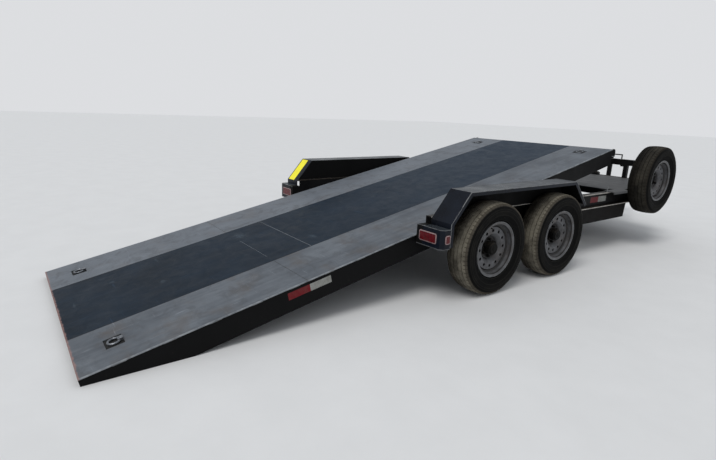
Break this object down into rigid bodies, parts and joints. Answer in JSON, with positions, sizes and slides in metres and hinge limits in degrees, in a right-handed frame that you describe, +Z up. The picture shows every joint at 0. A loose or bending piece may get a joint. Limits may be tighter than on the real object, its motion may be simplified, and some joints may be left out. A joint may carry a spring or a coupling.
{
  "type": "tilt deck car carrier trailer",
  "caption": "Tandem axle car carrier trailer with a tilting steel deck, fixed front platform, fenders, spare wheel, jack and ball coupler.",
  "frame": {"origin": "on the ground below the middle of the whole length and width", "axes": "+Y forward to the coupler, +X to the trailer's right side, +Z up"},
  "size_m": [2.4712, 7.92, 1.1398],
  "materials": {
    "tyre_rubber": "dusty worn rubber",
    "rim_silver": "silver paint, dusty",
    "hub_black": "black paint",
    "fender_black": "gloss black paint",
    "spring_steel": "dusty black paint",
    "strip_steel": "worn grey steel",
    "centre_steel": "scuffed slate grey paint",
    "platform_steel": "scuffed grey paint",
    "deck_frame_paint": "black paint, dusty",
    "red_lens": "moulded red plastic",
    "ring_steel": "plain worn steel",
    "rod_chrome": "polished",
    "zinc_steel": "zinc plated",
    "coupler_paint": "black paint",
    "frame_black": "black paint, dusty"
  },
  "bodies": {
    "frame": {"frame_rail_left": "frame_black", "fender_left": "fender_black", "lamp_box_left": "frame_black", "frame_rail_right": "frame_black", "fender_right": "fender_black", "lamp_box_right": "frame_black", "axle_rear": "frame_black", "axle_front": "frame_black", "leaf_springs": "spring_steel", "spring_hangers": "spring_steel", "tongue_beams": "frame_black", "pivot_shaft": "frame_black", "frame_cross_members": "frame_black", "platform_plate": "platform_steel", "coupler": "coupler_paint", "jack_body": "frame_black", "jack_leg": "zinc_steel", "tail_lamps": "red_lens", "stop_rail": "frame_black", "spare_mount": "frame_black", "spare_tyre": "tyre_rubber", "spare_rim": "rim_silver"},
    "deck": {"deck_beam_left": "deck_frame_paint", "deck_strip_left": "strip_steel", "deck_beam_right": "deck_frame_paint", "deck_strip_right": "strip_steel", "deck_plate_centre": "centre_steel", "deck_joists": "deck_frame_paint", "deck_pivot_tube": "deck_frame_paint", "deck_end_bars": "deck_frame_paint", "cylinder_bracket": "frame_black", "tie_down_rings": "ring_steel"},
    "wheel_left_rear": {"tyre_left_rear": "tyre_rubber", "rim_left_rear": "rim_silver", "hub_left_rear": "hub_black"},
    "wheel_left_front": {"tyre_left_front": "tyre_rubber", "rim_left_front": "rim_silver", "hub_left_front": "hub_black"},
    "wheel_right_rear": {"tyre_right_rear": "tyre_rubber", "rim_right_rear": "rim_silver", "hub_right_rear": "hub_black"},
    "wheel_right_front": {"tyre_right_front": "tyre_rubber", "rim_right_front": "rim_silver", "hub_right_front": "hub_black"},
    "cylinder_barrel": {"cylinder_barrel": "frame_black"},
    "cylinder_rod": {"cylinder_rod": "rod_chrome"}
  },
  "joints": [
    {"name": "wheel_left_rear_spin", "type": "hinge", "parent": "frame", "child": "wheel_left_rear", "pos_m": [-1.1265, -1.08299, 0.376], "axis": [1, 0, 0], "continuous": true},
    {"name": "wheel_left_front_spin", "type": "hinge", "parent": "frame", "child": "wheel_left_front", "pos_m": [-1.1265, -0.18099, 0.376], "axis": [1, 0, 0], "continuous": true},
    {"name": "wheel_right_rear_spin", "type": "hinge", "parent": "frame", "child": "wheel_right_rear", "pos_m": [1.1265, -1.08299, 0.376], "axis": [1, 0, 0], "continuous": true},
    {"name": "wheel_right_front_spin", "type": "hinge", "parent": "frame", "child": "wheel_right_front", "pos_m": [1.1265, -0.18099, 0.376], "axis": [1, 0, 0], "continuous": true},
    {"name": "deck_tilt", "type": "hinge", "parent": "frame", "child": "deck", "pos_m": [0, -1.02699, 0.56], "axis": [-1, 0, 0], "range_deg": [0, 11.77]},
    {"name": "cylinder_swing", "type": "hinge", "parent": "frame", "child": "cylinder_barrel", "pos_m": [0, 0.00701, 0.425], "axis": [-1, 0, 0], "range_deg": [0, 23.68]},
    {"name": "cylinder_stroke", "type": "slide", "parent": "cylinder_barrel", "child": "cylinder_rod", "axis": [0, 0.8561, 0.5168], "range_m": [-0.09675, 0]}
  ],
  "couplings": [
    {"joint": "cylinder_swing", "follows": "deck_tilt", "ratio": 2.0117},
    {"joint": "cylinder_stroke", "follows": "deck_tilt", "m_per_rad": -0.47054}
  ]
}
